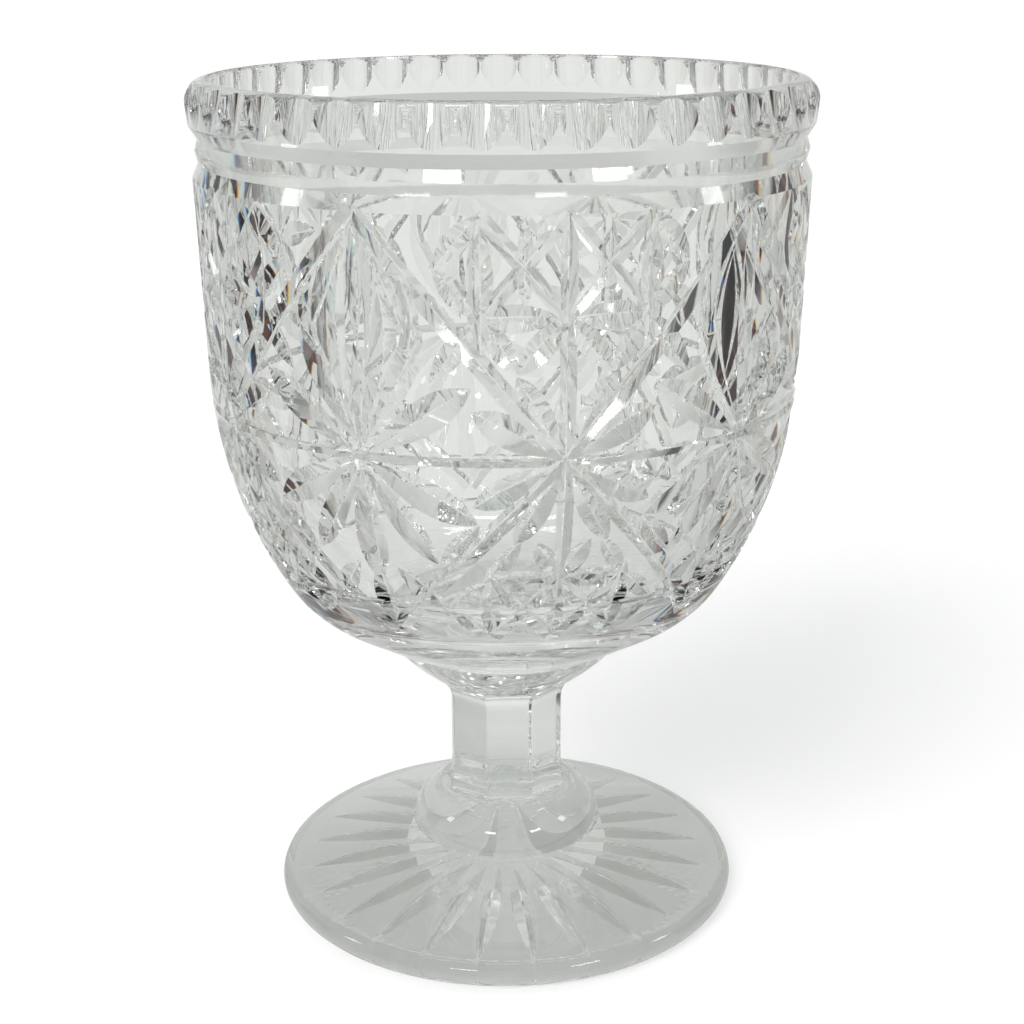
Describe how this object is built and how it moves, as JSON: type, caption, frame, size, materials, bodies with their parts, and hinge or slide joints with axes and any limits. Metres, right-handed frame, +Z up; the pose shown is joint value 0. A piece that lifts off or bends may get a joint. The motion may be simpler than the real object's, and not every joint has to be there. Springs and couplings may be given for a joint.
{
  "type": "punch bowl",
  "caption": "Footed punch bowl in clear cut glass: deep star-cut bowl with fluted rim and ring grooves, faceted stem, domed collar and ray-cut round foot.",
  "frame": {"origin": "centre of the foot's underside, on the surface that the bowl stands on", "axes": "+Z up along the axis of revolution; -Y is the front, where the stem's octagon is turned a few degrees from square"},
  "size_m": [0.2261, 0.2261, 0.32],
  "materials": {
    "crystal": "polished cut lead crystal"
  },
  "bodies": {
    "root": {"bowl": "crystal", "merese": "crystal", "stem": "crystal", "collar": "crystal", "foot": "crystal"}
  },
  "joints": []
}
